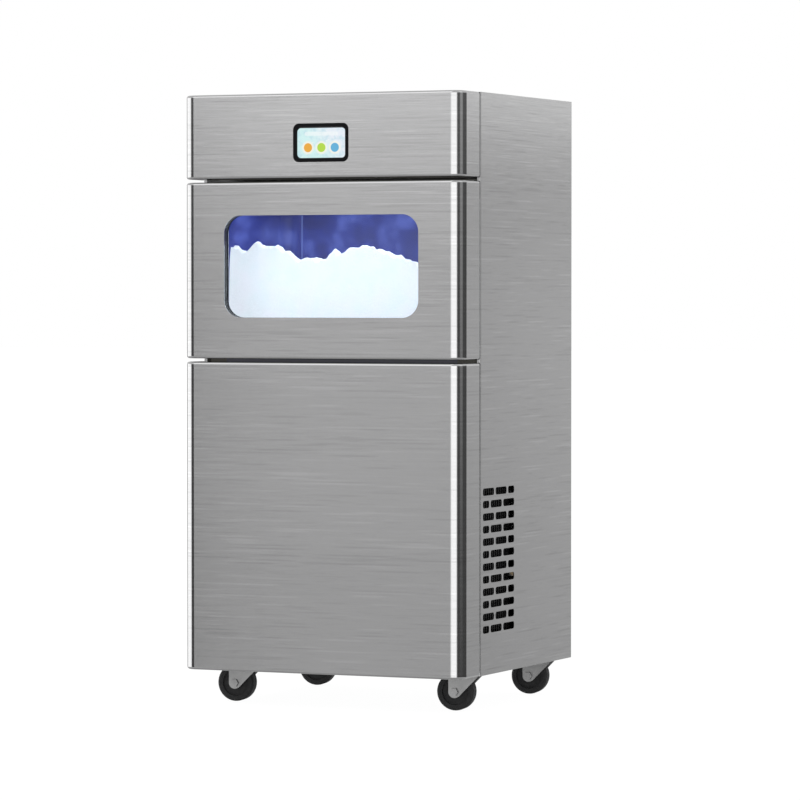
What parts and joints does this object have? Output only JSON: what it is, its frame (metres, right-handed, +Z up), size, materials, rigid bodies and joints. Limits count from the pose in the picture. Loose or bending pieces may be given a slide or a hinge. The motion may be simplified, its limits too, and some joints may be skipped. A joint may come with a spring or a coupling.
{
  "type": "snow ice machine",
  "caption": "Upright steel snow ice machine on swivel casters, with a display fascia, a flip-up bin door with a rounded window, a plain service panel and slotted side vents.",
  "frame": {"origin": "on the floor under the middle of the cabinet", "axes": "+X the machine's right seen from the front, +Y its back, +Z up"},
  "size_m": [0.5, 0.475, 1.006],
  "materials": {
    "front_steel": "horizontally brushed stainless steel",
    "side_steel": "horizontally brushed stainless steel",
    "galvanised_sheet": "plain zinc-coated sheet",
    "screw_steel": "plated steel",
    "bezel_plastic": "moulded display frame",
    "display_glass": "lit touch screen",
    "circuit_board": "circuit board with components",
    "liner_plastic": "smooth moulded liner in blue light",
    "foam": "rigid insulating foam",
    "lamp_diffuser": "lit strip",
    "snow_ice": "loose snow ice",
    "stainless_parts": "polished stainless steel",
    "dark_plastic": "dark moulded plastic",
    "pane_glass": "clear pane",
    "gasket_rubber": "soft door seal",
    "jacket_foam": "closed-cell foam jacket on a steel barrel",
    "food_plastic": "white moulded plastic",
    "motor_paint": "black enamel",
    "condenser_fins": "aluminium fins",
    "fan_plastic": "moulded fan",
    "brass_fitting": "turned brass",
    "caster_steel": "pressed and plated steel",
    "wheel_rubber": "solid black wheel"
  },
  "bodies": {
    "root": {"back_panel": "galvanised_sheet", "back_screws": "screw_steel", "base_pan": "galvanised_sheet", "bin_deck": "galvanised_sheet", "bin_insulation": "foam", "bin_liner": "liner_plastic", "caster_back_left_plate": "caster_steel", "caster_back_right_plate": "caster_steel", "caster_front_left_plate": "caster_steel", "caster_front_right_plate": "caster_steel", "compressor": "motor_paint", "compressor_terminal_cover": "dark_plastic", "condenser": "condenser_fins", "control_board": "circuit_board", "control_fascia": "front_steel", "display_bezel": "bezel_plastic", "display_screen": "display_glass", "drain_outlet": "food_plastic", "extruding_head": "food_plastic", "fan_motor": "motor_paint", "fan_shroud": "galvanised_sheet", "freezing_cylinder": "jacket_foam", "gear_motor": "motor_paint", "hinge_arms": "stainless_parts", "ice_chute": "food_plastic", "lamp_bar": "lamp_diffuser", "left_side_panel": "side_steel", "power_inlet": "dark_plastic", "right_side_panel": "side_steel", "service_panel": "front_steel", "snow_ice": "snow_ice", "top_cover": "side_steel", "water_inlet": "brass_fitting", "water_tank": "food_plastic", "water_tank_lid": "food_plastic"},
    "bin_door": {"door_skin": "front_steel", "door_liner": "liner_plastic", "door_foam": "foam", "door_gasket": "gasket_rubber", "window_frame": "dark_plastic", "window_spacer": "dark_plastic", "window_outer_pane": "pane_glass", "window_inner_pane": "pane_glass", "door_pivot_pins": "stainless_parts"},
    "auger": {"auger": "stainless_parts"},
    "fan": {"fan_blades": "fan_plastic"},
    "float": {"float_arm": "food_plastic"},
    "caster_front_left": {"caster_front_left_fork": "caster_steel", "caster_front_left_axle": "screw_steel"},
    "wheel_front_left": {"caster_front_left_wheel": "wheel_rubber"},
    "caster_front_right": {"caster_front_right_fork": "caster_steel", "caster_front_right_axle": "screw_steel"},
    "wheel_front_right": {"caster_front_right_wheel": "wheel_rubber"},
    "caster_back_left": {"caster_back_left_fork": "caster_steel", "caster_back_left_axle": "screw_steel"},
    "wheel_back_left": {"caster_back_left_wheel": "wheel_rubber"},
    "caster_back_right": {"caster_back_right_fork": "caster_steel", "caster_back_right_axle": "screw_steel"},
    "wheel_back_right": {"caster_back_right_wheel": "wheel_rubber"}
  },
  "joints": [
    {"name": "door_hinge", "type": "hinge", "parent": "root", "child": "bin_door", "pos_m": [0, -0.2205, 0.8425], "axis": [-1, 0, 0], "range_deg": [0, 90]},
    {"name": "auger_spin", "type": "hinge", "parent": "root", "child": "auger", "pos_m": [-0.1, 0.15, 0.5], "axis": [0, 0, 1], "continuous": true},
    {"name": "fan_spin", "type": "hinge", "parent": "root", "child": "fan", "pos_m": [0.15, -0.0775, 0.2345], "axis": [1, 0, 0], "continuous": true},
    {"name": "float_swing", "type": "hinge", "parent": "root", "child": "float", "pos_m": [0.178, 0.156, 0.583], "axis": [0, -1, 0], "range_deg": [0, 25]},
    {"name": "front_left_swivel", "type": "hinge", "parent": "root", "child": "caster_front_left", "pos_m": [-0.186, -0.1215, 0.085], "axis": [0, 0, 1], "continuous": true},
    {"name": "front_left_wheel_spin", "type": "hinge", "parent": "caster_front_left", "child": "wheel_front_left", "pos_m": [-0.2058, -0.12428, 0.031], "axis": [-0.1392, 0.9903, 0], "continuous": true},
    {"name": "front_right_swivel", "type": "hinge", "parent": "root", "child": "caster_front_right", "pos_m": [0.213, -0.1215, 0.085], "axis": [0, 0, 1], "continuous": true},
    {"name": "front_right_wheel_spin", "type": "hinge", "parent": "caster_front_right", "child": "wheel_front_right", "pos_m": [0.1932, -0.12428, 0.031], "axis": [-0.1392, 0.9903, 0], "continuous": true},
    {"name": "back_left_swivel", "type": "hinge", "parent": "root", "child": "caster_back_left", "pos_m": [-0.186, 0.196, 0.085], "axis": [0, 0, 1], "continuous": true},
    {"name": "back_left_wheel_spin", "type": "hinge", "parent": "caster_back_left", "child": "wheel_back_left", "pos_m": [-0.2058, 0.19322, 0.031], "axis": [-0.1392, 0.9903, 0], "continuous": true},
    {"name": "back_right_swivel", "type": "hinge", "parent": "root", "child": "caster_back_right", "pos_m": [0.213, 0.196, 0.085], "axis": [0, 0, 1], "continuous": true},
    {"name": "back_right_wheel_spin", "type": "hinge", "parent": "caster_back_right", "child": "wheel_back_right", "pos_m": [0.1932, 0.19322, 0.031], "axis": [-0.1392, 0.9903, 0], "continuous": true}
  ]
}
